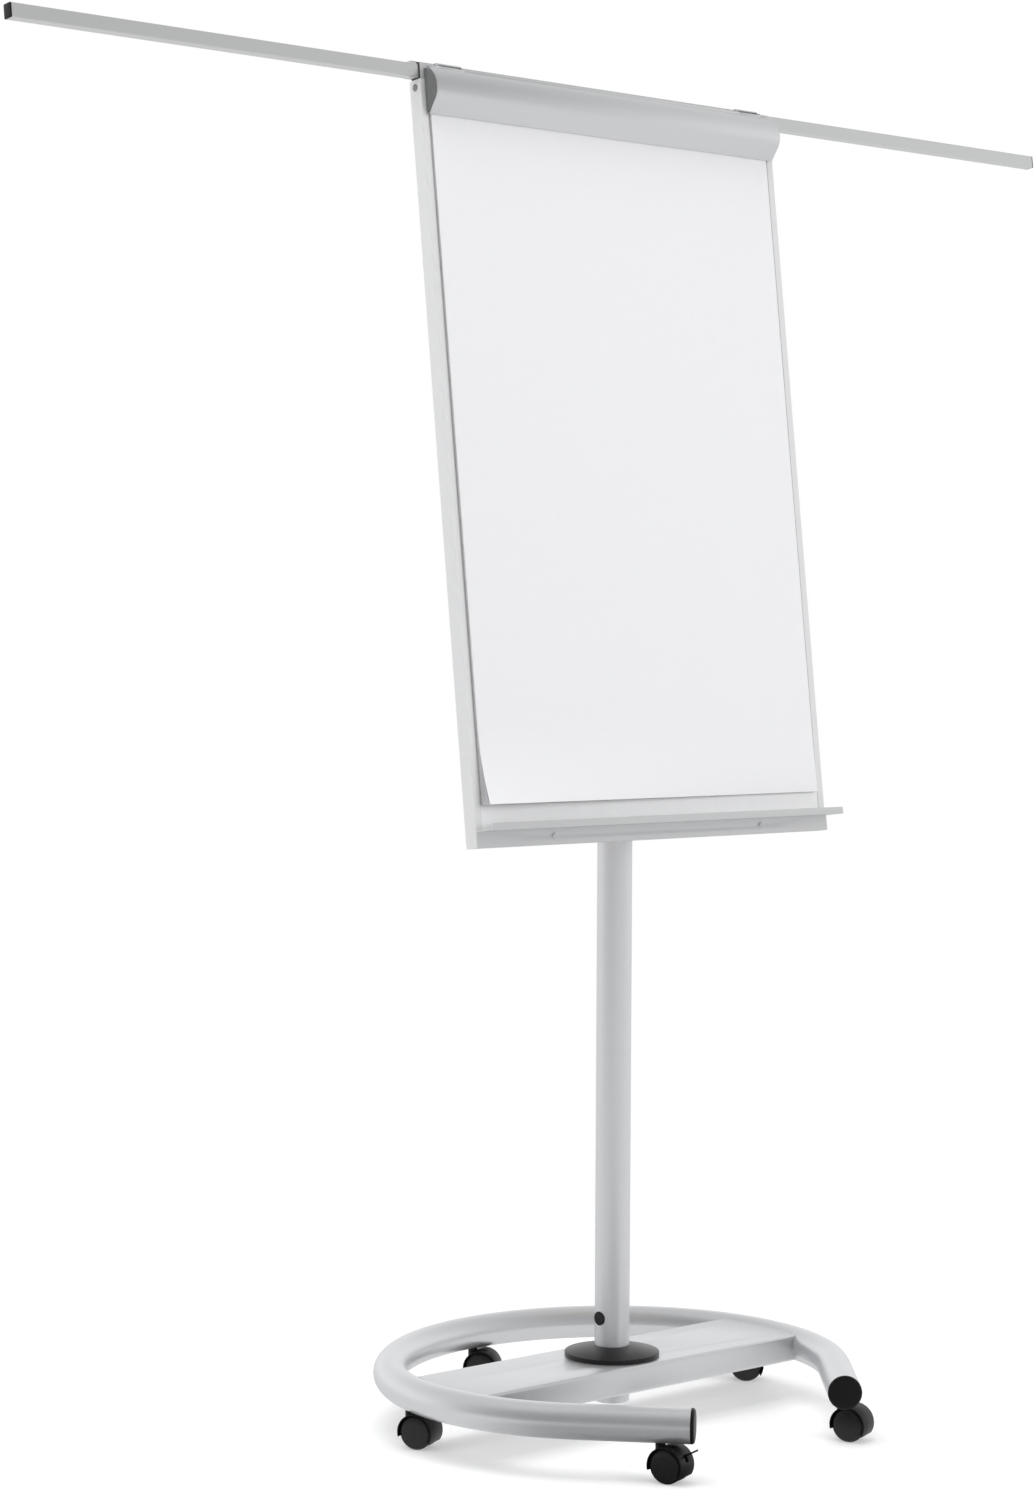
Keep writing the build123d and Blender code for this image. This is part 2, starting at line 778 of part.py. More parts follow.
with BuildPart() as carrier:
    with BuildSketch(board.offset(-stile_depth)):
        with Locations((0, carrier_bottom + carrier_height / 2)):
            Rectangle(carrier_plate_width, carrier_height)
    extrude(amount=-carrier_plate_thickness)
    for side in (-1, 1):
        cheek_x = side * (column_radius + carrier_wall - carrier_cheek / 2) + carrier_cheek / 2
        with BuildSketch(Plane(origin=(cheek_x, 0, 0), x_dir=(0, 1, 0), z_dir=(1, 0, 0))):
            with BuildLine():
                low = board_point(0, carrier_bottom, -stile_depth - 1)
                high = board_point(0, carrier_bottom + carrier_height, -stile_depth - 1)
                Polyline(
                    (low.Y, low.Z),
                    (high.Y, high.Z),
                    (0, column_top),
                    (0, sleeve_bottom),
                    close=True,
                )
            make_face()
        extrude(amount=-carrier_cheek)
    with BuildSketch(Plane.XY.offset(sleeve_bottom)):
        Circle(column_radius + carrier_wall)
    extrude(amount=column_top - sleeve_bottom)
    with BuildSketch(Plane.XY.offset(sleeve_bottom - column_diameter)):
        Circle(column_radius)
    extrude(amount=column_top - sleeve_bottom + 2 * column_diameter, mode=Mode.SUBTRACT)
    with BuildSketch(board.offset(-stile_depth)):
        with Locations((0, carrier_bottom + carrier_height / 2)):
            Rectangle(carrier_plate_width, 3 * carrier_height)
    extrude(amount=stile_depth, mode=Mode.SUBTRACT)
    with BuildSketch(board.offset(-stile_depth)):
        with Locations(*bolt_points):
            Circle(bolt_diameter / 2)
    extrude(amount=-carrier_plate_thickness, mode=Mode.SUBTRACT)
save(carrier, "carrier")

with BuildPart() as carrier_bolts:
    with BuildSketch(board.offset(-stile_depth - carrier_plate_thickness)):
        with Locations(*bolt_points):
            Circle(bolt_head_diameter / 2)
    extrude(amount=-bolt_head_height)
    with BuildSketch(board.offset(-stile_depth - carrier_plate_thickness)):
        with Locations(*bolt_points):
            Circle(bolt_diameter / 2)
    extrude(amount=carrier_plate_thickness + rail_wall + 2)
save(carrier_bolts, "carrier_bolts")

# --------------------------------------------------------------------------- pen tray

with BuildPart() as tray:
    with BuildSketch(board_section(half_width)):
        with BuildLine():
            Polyline(
                (0, 0),
                (tray_wall, 0),
                (tray_wall, lower_rail_height),
                (tray_reach, lower_rail_height),
                (tray_reach, lower_rail_height + lip_height),
                (tray_reach - tray_wall, lower_rail_height + lip_height),
                (tray_reach - tray_wall, lower_rail_height + tray_wall),
                (0, lower_rail_height + tray_wall),
                close=True,
            )
        make_face()
    extrude(amount=board_width)
    fillet(tray.edges().filter_by(Axis.X).group_by(up_board)[-1], radius=tray_wall / 2 - 0.1)
    for x in (-tray_screw_spacing / 2, tray_screw_spacing / 2):
        with BuildSketch(Plane(origin=board_point(x, tray_screw_height, tray_wall + 1),
                               x_dir=(1, 0, 0), z_dir=forward)):
            Circle(tray_screw_diameter / 2)
        extrude(amount=-tray_wall - 2, mode=Mode.SUBTRACT)
save(tray, "tray")

with BuildPart() as tray_screws:
    for x in (-tray_screw_spacing / 2, tray_screw_spacing / 2):
        seat = Plane(origin=board_point(x, tray_screw_height, tray_wall), x_dir=(1, 0, 0),
                     z_dir=forward)
        with BuildSketch(seat):
            Circle(tray_screw_head / 2)
        extrude(amount=tray_screw_head_height, taper=24)
        with BuildSketch(seat):
            Circle(tray_screw_diameter / 2)
        extrude(amount=-tray_wall - rail_wall - 3)
        for turn in (0, 90):
            with BuildSketch(seat.offset(tray_screw_head_height)):
                Rectangle(4, 0.9, rotation=turn)
            extrude(amount=-1.2, mode=Mode.SUBTRACT)
save(tray_screws, "tray_screws")

# ------------------------------------------------------------------ header and its arms

front_channel = (-header_wall - channel_depth / 2, stile_length + header_height / 2)
rear_channel = (
    -front_channel_depth - channel_depth / 2,
    stile_length + rear_channel_rise + header_height / 2,
)
front_outline = (-front_channel_depth / 2, front_channel[1])
rear_outline = (-front_channel_depth - rear_channel_depth / 2, rear_channel[1])

with BuildPart() as header:
    with BuildSketch(board_section(header_half_length)):
        with Locations(front_outline):
            Rectangle(front_channel_depth, header_height)
        with Locations(rear_outline):
            Rectangle(rear_channel_depth, header_height)
        with Locations(front_channel, rear_channel):
            Rectangle(channel_depth, channel_height, mode=Mode.SUBTRACT)
    extrude(amount=2 * header_half_length)
save(header, "header")


def arm_section(x, centre):
    return Plane(origin=board_point(x, centre[1], centre[0]), x_dir=forward, z_dir=(-1, 0, 0))


guide_depth = arm_depth + 2 * running_fit
guide_height = arm_height + 2 * running_fit
left_front = (-1, front_outline, front_channel_depth, front_channel)
right_front = (1, front_outline, front_channel_depth, front_channel)
left_rear = (-1, rear_outline, rear_channel_depth, rear_channel)
right_rear = (1, rear_outline, rear_channel_depth, rear_channel)

with BuildPart() as arm_guides:
    for side, outline, depth, channel in (left_front, right_rear):
        with BuildSketch(board_section(side * half_width)):
            with Locations(outline):
                Rectangle(depth, header_height)
            with Locations(channel):
                Rectangle(guide_depth, guide_height, mode=Mode.SUBTRACT)
        extrude(amount=side * end_piece_thickness)
save(arm_guides, "arm_guides")

with BuildPart() as header_end_plugs:
    for side, outline, depth, channel in (right_front, left_rear):
        with BuildSketch(board_section(side * half_width)):
            with Locations(outline):
                Rectangle(depth, header_height)
        extrude(amount=side * end_piece_thickness)
        with BuildSketch(board_section(side * header_half_length)):
            with Locations(channel):
                Rectangle(channel_depth, channel_height)
        extrude(amount=side * (end_piece_insertion - end_piece_thickness))
save(header_end_plugs, "header_end_plugs")


def make_arm(name, side, centre, reach):
    """A box tube. Its outer end stands out of the header by reach, with side -1 or +1."""
    outer = side * (half_width + reach - arm_cap_flange)
    tube_length = arm_length - arm_cap_flange
    with BuildPart() as arm:
        with BuildSketch(arm_section(outer, centre)):
            RectangleRounded(arm_depth, arm_height, arm_corner)
            Rectangle(arm_depth - 2 * arm_wall, arm_height - 2 * arm_wall, mode=Mode.SUBTRACT)
        extrude(amount=side * tube_length)
    save(arm, name)
    with BuildPart() as plugs:
        with BuildSketch(arm_section(outer + side * arm_cap_flange, centre)):
            RectangleRounded(arm_depth, arm_height, arm_corner)
        extrude(amount=side * arm_cap_flange)
        with BuildSketch(arm_section(outer, centre)):
            Rectangle(arm_depth - 2 * arm_wall, arm_height - 2 * arm_wall)
        extrude(amount=side * arm_plug_depth)
        with BuildSketch(arm_section(outer - side * (tube_length - arm_stop_length), centre)):
            Rectangle(arm_depth - 2 * arm_wall, arm_height - 2 * arm_wall)
        extrude(amount=side * arm_stop_length)
    save(plugs, f"{name}_plugs")


make_arm("left_arm", -1, front_channel, left_arm_reach)
make_arm("right_arm", 1, rear_channel, right_arm_reach)

# ------------------------------------------------------------- clamp cover and its hinge

hinge_axis = (hinge_reach, header_top - hinge_drop)
hinge_centres = (-hinge_plate_spacing / 2, hinge_plate_spacing / 2)
ear_shift = hinge_plate_length / 2 - hinge_ear_thickness / 2
cover_waist = (cover_waist_reach, stile_length + cover_waist_height)
cover_lip = (cover_lip_reach, stile_length + cover_lip_height)


def draw_cover_line():
    """The middle line of the cover's wall, drawn inside a BuildLine at x forward and y up."""
    shoulder = (cover_shoulder_reach, stile_length + cover_shoulder_height)
    bulge = (cover_bulge - cover_wall / 2, stile_length + cover_bulge_height)
    upper = ThreePointArc(hinge_axis, shoulder, bulge)
    lower = TangentArc(bulge, cover_waist, tangent=upper % 1)
    Line(lower @ 1, cover_lip)


with BuildPart() as clamp_cover:
    with BuildSketch(board_section(cover_length / 2)):
        with BuildLine():
            draw_cover_line()
        trace(line_width=cover_wall)
        with Locations(hinge_axis):
            Circle(barrel_diameter / 2)
            Circle(hinge_pin_diameter / 2 + running_fit, mode=Mode.SUBTRACT)
    extrude(amount=cover_length)
    for centre in hinge_centres:
        for shift in (-ear_shift, ear_shift):
            gap = hinge_ear_thickness + 2 * body_gap
            with BuildSketch(board_section(centre + shift + gap / 2)):
                with Locations(hinge_axis):
                    Circle(barrel_diameter / 2 + body_gap)
            extrude(amount=gap, mode=Mode.SUBTRACT)
save(clamp_cover, "clamp_cover")

with BuildPart() as cover_end_plates:
    for start in (cover_length / 2, cover_end_thickness - cover_length / 2):
        with BuildSketch(board_section(start)):
            with BuildLine():
                draw_cover_line()
                back = cover_back_gap
                Polyline(cover_lip, (back, cover_lip[1] + 4), (back, hinge_axis[1]), hinge_axis)
            make_face()
            with BuildLine():
                draw_cover_line()
            trace(line_width=cover_wall, mode=Mode.SUBTRACT)
            with Locations(hinge_axis):
                Circle(barrel_diameter / 2, mode=Mode.SUBTRACT)
        extrude(amount=cover_end_thickness)
save(cover_end_plates, "cover_end_plates")

with BuildPart() as hinge_plates:
    for centre in hinge_centres:
        with BuildSketch(board_section(centre + hinge_plate_length / 2)):
            with BuildLine():
                Polyline(
                    (-hinge_plate_reach, header_top),
                    (hinge_plate_front, header_top),
                    (hinge_plate_front, header_top + hinge_plate_thickness),
                    (-hinge_plate_reach, header_top + hinge_plate_thickness),
                    close=True,
                )
            make_face()
        extrude(amount=hinge_plate_length)
        for shift in (-ear_shift, ear_shift):
            with BuildSketch(board_section(centre + shift + hinge_ear_thickness / 2)):
                with BuildLine():
                    Polyline(
                        (0, header_top),
                        (0, header_top - hinge_ear_height),
                        hinge_axis,
                        (hinge_plate_front, header_top),
                        close=True,
                    )
                make_face()
                with Locations(hinge_axis):
                    Circle(barrel_diameter / 2)
                make_hull()
                with Locations(hinge_axis):
                    Circle(hinge_pin_diameter / 2, mode=Mode.SUBTRACT)
            extrude(amount=hinge_ear_thickness)
save(hinge_plates, "hinge_plates")

with BuildPart() as hinge_rod:
    with BuildSketch(board_section(cover_length / 2)):
        with Locations(hinge_axis):
            Circle(hinge_pin_diameter / 2)
    extrude(amount=cover_length)
save(hinge_rod, "hinge_rod")

# ---------------------------------------------------------------------- hooks and paper

hook_height = stile_length - hook_below_header
hook_points = [(x, hook_height) for x in (-hook_spacing / 2, hook_spacing / 2)]
pad_centre = (pad_shift, stile_length - pad_below_header - pad_length / 2)

with BuildPart() as pad_hooks:
    with BuildSketch(board.offset(-panel_recess)):
        with Locations(*hook_points):
            Circle(hook_base_diameter / 2)
    extrude(amount=hook_base_thickness)
    with BuildSketch(board.offset(-panel_recess)):
        with Locations(*hook_points):
            Circle(hook_diameter / 2)
    extrude(amount=hook_length)
    tips = pad_hooks.faces().filter_by(GeomType.PLANE).group_by(Axis((0, 0, 0), forward))[-1]
    fillet(tips.edges(), radius=hook_diameter / 5)
save(pad_hooks, "pad_hooks")

paper_back = -panel_recess + hook_base_thickness + 0.1


def make_paper(name, start, thickness, length):
    with BuildPart() as paper:
        with BuildSketch(board.offset(start)):
            with Locations((pad_shift, pad_centre[1] + (pad_length - length) / 2)):
                Rectangle(pad_width, length)
            with Locations(*hook_points):
                Circle(hook_diameter / 2 + hook_hole_gap, mode=Mode.SUBTRACT)
        extrude(amount=thickness)
    save(paper, name)


make_paper("backing_card", paper_back, backing_thickness, pad_length)
make_paper("paper_pad", paper_back + backing_thickness, pad_thickness, pad_length)
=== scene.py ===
import json
import math
import bpy
from mathutils import Matrix, Vector

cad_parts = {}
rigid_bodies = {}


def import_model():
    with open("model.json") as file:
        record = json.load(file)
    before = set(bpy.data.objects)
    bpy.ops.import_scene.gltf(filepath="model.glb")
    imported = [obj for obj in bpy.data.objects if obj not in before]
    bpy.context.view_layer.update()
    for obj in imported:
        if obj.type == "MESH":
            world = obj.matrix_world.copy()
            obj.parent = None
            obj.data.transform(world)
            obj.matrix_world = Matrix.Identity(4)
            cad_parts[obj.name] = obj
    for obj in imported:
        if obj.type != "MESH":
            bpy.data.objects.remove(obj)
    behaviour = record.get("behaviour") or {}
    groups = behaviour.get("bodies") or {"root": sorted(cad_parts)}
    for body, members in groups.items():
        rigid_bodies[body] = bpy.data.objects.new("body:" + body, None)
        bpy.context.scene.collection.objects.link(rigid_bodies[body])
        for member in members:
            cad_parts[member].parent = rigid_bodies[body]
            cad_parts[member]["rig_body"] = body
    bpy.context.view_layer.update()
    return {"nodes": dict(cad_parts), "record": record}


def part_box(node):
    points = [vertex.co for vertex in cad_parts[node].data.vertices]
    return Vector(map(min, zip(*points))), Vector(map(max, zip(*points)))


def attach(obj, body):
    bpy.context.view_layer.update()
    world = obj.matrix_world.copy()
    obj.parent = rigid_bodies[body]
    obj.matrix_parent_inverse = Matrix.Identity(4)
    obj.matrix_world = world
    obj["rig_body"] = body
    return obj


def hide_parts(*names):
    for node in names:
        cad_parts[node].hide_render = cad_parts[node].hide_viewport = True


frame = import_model()
bpy.ops.object.select_all(action="DESELECT")

# the board's own directions come from the tray floor it carries
mounts = {mount["name"]: mount for mount in frame["record"]["mounts"]}
upBoard = Vector(mounts["tray_floor"]["axis"]).normalized()
outBoard = Vector((0, -upBoard.z, upBoard.y))


camera = {
    "place": (-3.1175, -3.389, 1.1309),
    "heading": 49.134,
    "pitch": -2.104,
    "roll": 0.272,
    "lens": 77.58,
    "sensor": 36,
    "farthest": 100,
}

studio = {
    "floorSize": 60,
    "shadowReach": (0.5, 1.25),
    "floorColour": (0.70, 0.70, 0.705),
    "floorLift": 0.35,
    "farFloor": 0.80,
    # painted shade: a grey patch of floor before the easel, seen only in reflections, standing in for
    # shadowed floor
    "reflectedShadeColour": (0.24, 0.24, 0.245),
    "reflectedShadeCentre": (-0.33, -0.55),
    "reflectedShadeReach": (0.30, 0.56),
    "skyLight": 0.50,
    "skyColour": (0.985, 0.99, 1),
    "zenithShade": 0.50,
    "zenithReach": (0.15, 0.95),
    "frontShade": 0.42,
    "frontWay": (-0.47, -0.88, 0),
    "frontReach": (-0.2, 0.95),
    "sideShade": 0.34,
    "sideWay": (-0.95, -0.20, 0.25),
    "sideReach": (0.50, 1.0),
    "topLamp": {"place": (-0.6, 0.5, 4.4), "size": 3.4, "power": 125},
    "frontLamp": {"place": (1.2, -4.8, 2.4), "size": 2.8, "power": 92},
    "sideLamp": {"place": (-4.6, 0.6, 2.0), "size": 2.6, "power": 44},
    "lampAim": (0, 0, 0.9),
}


def addCamera(settings):
    heading = math.radians(settings["heading"])
    pitch = math.radians(settings["pitch"])
    flat = math.cos(pitch)
    look = Vector((math.cos(heading) * flat, math.sin(heading) * flat, math.sin(pitch)))
    level = look.cross(Vector((0, 0, 1))).normalized()
    roll = Matrix.Rotation(math.radians(-settings["roll"]), 3, look)
    right = roll @ level
    up = right.cross(look)
    data = bpy.data.cameras.new("camera")
    data.lens = settings["lens"]
    data.sensor_width = settings["sensor"]
    data.sensor_fit = "AUTO"
    data.clip_end = settings["farthest"]
    eye = bpy.data.objects.new("camera", data)
    bpy.context.collection.objects.link(eye)
    turn = Matrix((right, up, -look)).transposed().to_4x4()
    eye.matrix_world = Matrix.Translation(settings["place"]) @ turn
    bpy.context.scene.camera = eye


def addLamp(name, settings, aim):
    data = bpy.data.lights.new(name, "AREA")
    data.shape = "SQUARE"
    data.size = settings["size"]
    data.energy = settings["power"]
    lamp = bpy.data.objects.new(name, data)
    bpy.context.collection.objects.link(lamp)
    place = Vector(settings["place"])
    lamp.location = place
    lamp.rotation_euler = (Vector(aim) - place).to_track_quat("-Z", "Y").to_euler()
    lamp.visible_glossy = False  # gloss shows the plain studio round the easel


def addWorld(settings):
    world = bpy.data.worlds.new("studio")
    bpy.context.scene.world = world
    world.use_nodes = True
    nodes, links = world.node_tree.nodes, world.node_tree.links
    nodes.clear()
    out = nodes.new("ShaderNodeOutputWorld")
    rays = nodes.new("ShaderNodeLightPath")
    direction = nodes.new("ShaderNodeTexCoord")
    height = nodes.new("ShaderNodeSeparateXYZ")
    links.new(direction.outputs["Generated"], height.inputs[0])

    def background(colour, strength=1):
        shader = nodes.new("ShaderNodeBackground")
        shader.inputs["Color"].default_value = (*colour, 1)
        shader.inputs["Strength"].default_value = strength
        return shader

    def blend(amount, first, second):
        mix = nodes.new("ShaderNodeMixShader")
        links.new(amount, mix.inputs[0])
        links.new(first, mix.inputs[1])
        links.new(second, mix.inputs[2])
        return mix.outputs[0]

    def combine(operation, first, second):
        result = nodes.new("ShaderNodeMath")
        result.operation = operation
        links.new(first, result.inputs[0])
        links.new(second, result.inputs[1])
        return result.outputs[0]

    def darken(amount, reach, least):
        fall = nodes.new("ShaderNodeMapRange")
        fall.interpolation_type = "SMOOTHSTEP"
        fall.inputs["From Min"].default_value, fall.inputs["From Max"].default_value = reach
        fall.inputs["To Min"].default_value = 1
        fall.inputs["To Max"].default_value = least
        links.new(amount, fall.inputs["Value"])
        return fall.outputs["Result"]

    def facing(way):
        toward = nodes.new("ShaderNodeVectorMath")
        toward.operation = "DOT_PRODUCT"
        toward.inputs[1].default_value = way
        links.new(direction.outputs["Generated"], toward.inputs[0])
        return toward.outputs["Value"]

    # gloss shows white round the horizon, darker overhead, towards the front and towards the left
    overhead = darken(height.outputs["Z"], settings["zenithReach"], settings["zenithShade"])
    front = darken(facing(settings["frontWay"]), settings["frontReach"], settings["frontShade"])
    side = darken(facing(settings["sideWay"]), settings["sideReach"], settings["sideShade"])
    shades = combine("MULTIPLY", combine("MULTIPLY", overhead, front), side)
    grey = nodes.new("ShaderNodeCombineColor")
    for channel in ("Red", "Green", "Blue"):
        links.new(shades, grey.inputs[channel])
    mirrored = background((1, 1, 1))
    links.new(grey.outputs[0], mirrored.inputs["Color"])
    white = background((1, 1, 1))
    light = background(settings["skyColour"], settings["skyLight"])
    cameraRay, glossyRay = rays.outputs["Is Camera Ray"], rays.outputs["Is Glossy Ray"]
    throughRay = rays.outputs["Is Transmission Ray"]
    anySight = combine("MAXIMUM", combine("MAXIMUM", cameraRay, glossyRay), throughRay)
    sight = blend(cameraRay, mirrored.outputs[0], white.outputs[0])
    links.new(blend(anySight, light.outputs[0], sight), out.inputs[0])


def addFloor(settings):
    bpy.ops.mesh.primitive_plane_add(size=settings["floorSize"])
    floor = bpy.context.object
    floor.name = "floor"
    material = bpy.data.materials.new("floorWhite")
    material.use_nodes = True
    nodes, links = material.node_tree.nodes, material.node_tree.links
    nodes.clear()
    out = nodes.new("ShaderNodeOutputMaterial")
    place = nodes.new("ShaderNodeTexCoord")
    rays = nodes.new("ShaderNodeLightPath")

    def fadeRound(centre, reach):
        away = nodes.new("ShaderNodeVectorMath")
        away.operation = "DISTANCE"
        away.inputs[1].default_value = (*centre, 0)
        fade = nodes.new("ShaderNodeMapRange")
        fade.interpolation_type = "SMOOTHSTEP"
        fade.inputs["From Min"].default_value, fade.inputs["From Max"].default_value = reach
        links.new(place.outputs["Object"], away.inputs[0])
        links.new(away.outputs["Value"], fade.inputs["Value"])
        return fade.outputs["Result"]

    def layer(kind, colour):
        shader = nodes.new(kind)
        shader.inputs["Color"].default_value = (*colour, 1)
        return shader

    def blend(amount, first, second):
        mix = nodes.new("ShaderNodeMixShader")
        links.new(amount, mix.inputs[0])
        links.new(first, mix.inputs[1])
        links.new(second, mix.inputs[2])
        return mix.outputs[0]

    def glow(strength):
        shader = layer("ShaderNodeEmission", (1, 1, 1))
        shader.inputs["Strength"].default_value = strength
        return shader.outputs[0]

    pale = layer("ShaderNodeBsdfDiffuse", settings["floorColour"])
    grey = layer("ShaderNodeBsdfDiffuse", settings["reflectedShadeColour"])
    shadowed = nodes.new("ShaderNodeAddShader")
    links.new(pale.outputs[0], shadowed.inputs[0])
    links.new(glow(settings["floorLift"]), shadowed.inputs[1])
    # close to the easel the floor keeps its shadow, further out it is plain white
    seen = blend(fadeRound((0, 0), settings["shadowReach"]), shadowed.outputs[0], glow(1))
    # in reflections the floor before the easel is painted grey as shade, fading out to the far floor's glow
    reflectedShadeFade = fadeRound(settings["reflectedShadeCentre"], settings["reflectedShadeReach"])
    inGloss = blend(reflectedShadeFade, grey.outputs[0], glow(settings["farFloor"]))
    unseen = blend(rays.outputs["Is Glossy Ray"], pale.outputs[0], inGloss)
    links.new(blend(rays.outputs["Is Camera Ray"], unseen, seen), out.inputs[0])
    floor.data.materials.append(material)


addCamera(camera)
addWorld(studio)
addFloor(studio)
for lampName in ("topLamp", "frontLamp", "sideLamp"):
    addLamp(lampName, studio[lampName], studio["lampAim"])
bpy.context.scene.view_settings.view_transform = "Standard"
print("camera and studio ready")


# grain and peel are noise scales, wander is how far the colour strays, stretch draws the grain along a run
finishes = {
    "silverLacquer": {
        "colour": (0.75, 0.757, 0.77), "metallic": 0.78, "roughness": 0.34, "specular": 0.5,
        "grain": 900, "peel": 260, "peelDepth": 0.02, "wander": 0.03,
    },
    "blackLacquer": {
        "colour": (0.009, 0.009, 0.010), "metallic": 0.0, "roughness": 0.24, "specular": 0.15,
        "grain": 500, "peel": 300, "peelDepth": 0.02, "wander": 0.08,
    },
    "satinAluminium": {
        "colour": (0.64, 0.645, 0.65), "metallic": 0.55, "roughness": 0.42, "specular": 0.5,
        "grain": 700, "stretch": (0.02, 1, 1), "peel": 900, "peelDepth": 0.01, "wander": 0.012,
    },
    "stileAluminium": {
        "colour": (0.79, 0.792, 0.795), "metallic": 0.2, "roughness": 0.42, "specular": 0.4,
        "grain": 700, "stretch": (1, 1, 0.02), "peel": 900, "peelDepth": 0.008, "wander": 0.01,
    },
    "coverAluminium": {
        "colour": (0.735, 0.74, 0.75), "metallic": 0.85, "roughness": 0.36, "specular": 0.5,
        "grain": 700, "stretch": (0.02, 1, 1), "peel": 900, "peelDepth": 0.008, "wander": 0.01,
    },
    "armAluminium": {
        "colour": (0.70, 0.705, 0.71), "metallic": 0.9, "roughness": 0.3, "specular": 0.5,
        "grain": 700, "stretch": (0.02, 1, 1), "peel": 900, "peelDepth": 0.008, "wander": 0.01,
    },
    "polishedSteel": {
        "colour": (0.72, 0.73, 0.75), "metallic": 1.0, "roughness": 0.16, "specular": 0.5,
        "grain": 400, "peel": 500, "peelDepth": 0.005, "wander": 0.02,
    },
    "zincPlate": {
        "colour": (0.6, 0.61, 0.63), "metallic": 0.9, "roughness": 0.35, "specular": 0.5,
        "grain": 500, "peel": 700, "peelDepth": 0.02, "wander": 0.06,
    },
    "blackPlastic": {
        "colour": (0.005, 0.005, 0.0055), "metallic": 0.0, "roughness": 0.42, "specular": 0.26,
        "grain": 700, "peel": 1400, "peelDepth": 0.03, "wander": 0.1,
    },
    "discBlack": {
        "colour": (0.012, 0.012, 0.013), "metallic": 0.0, "roughness": 0.30, "specular": 0.30,
        "grain": 500, "peel": 300, "peelDepth": 0.02, "wander": 0.06,
    },
    "glossBlack": {
        "colour": (0.003, 0.003, 0.0035), "metallic": 0.0, "roughness": 0.16, "specular": 0.4,
        "grain": 700, "peel": 900, "peelDepth": 0.01, "wander": 0.1,
    },
    "wheelPlastic": {
        "colour": (0.006, 0.006, 0.007), "metallic": 0.0, "roughness": 0.27, "specular": 0.42,
        "grain": 600, "peel": 800, "peelDepth": 0.02, "wander": 0.1,
    },
    "darkGreyPlastic": {
        "colour": (0.04, 0.04, 0.042), "metallic": 0.0, "roughness": 0.45, "specular": 0.3,
        "grain": 700, "peel": 1200, "peelDepth": 0.02, "wander": 0.05,
    },
    "greyPlastic": {
        "colour": (0.155, 0.157, 0.158), "metallic": 0.0, "roughness": 0.45, "specular": 0.4,
        "grain": 700, "peel": 1200, "peelDepth": 0.02, "wander": 0.05,
    },
    "buttonPlastic": {
        "colour": (0.27, 0.27, 0.275), "metallic": 0.0, "roughness": 0.45, "specular": 0.4,
        "grain": 700, "peel": 1200, "peelDepth": 0.02, "wander": 0.05,
    },
    "palePlastic": {
        "colour": (0.5, 0.503, 0.51), "metallic": 0.0, "roughness": 0.45, "specular": 0.4,
        "grain": 700, "peel": 1200, "peelDepth": 0.02, "wander": 0.04,
    },
    "whiteEnamel": {
        "colour": (0.955, 0.957, 0.96), "metallic": 0.0, "roughness": 0.2, "specular": 0.4,
        "grain": 60, "peel": 90, "peelDepth": 0.005, "wander": 0.01,
    },
    "particleBoard": {
        "colour": (0.5, 0.4, 0.28), "metallic": 0.0, "roughness": 0.8, "specular": 0.3,
        "grain": 180, "peel": 240, "peelDepth": 0.2, "wander": 0.3,
    },
    "greyCard": {
        "colour": (0.5, 0.49, 0.47), "metallic": 0.0, "roughness": 0.85, "specular": 0.3,
        "grain": 300, "peel": 500, "peelDepth": 0.06, "wander": 0.08,
    },
    "paper": {
        "colour": (0.88, 0.88, 0.895), "metallic": 0.0, "roughness": 0.75, "specular": 0.25,
        "grain": 240, "peel": 700, "peelDepth": 0.01, "wander": 0.008,
    },
    # painted shade: the pad's cut edges are grey with fine stripes, for the shadow on the side of the block
    # and between its sheets
    "pageEdgeShade": {
        "colour": (0.50, 0.50, 0.505), "metallic": 0.0, "roughness": 0.85, "specular": 0.2,
        "grain": 3500, "stretch": (1, 1, 0.02), "peel": 2500, "peelDepth": 0.2, "wander": 0.3,
    },
}


texture = {
    "detail": 3,
    "rampEnds": (0.3, 0.7),
    "spread": 0.04,
    "drawnSpread": 0.012,
    "bumpStrength": 4,
    "bumpHeight": 0.0004,
}


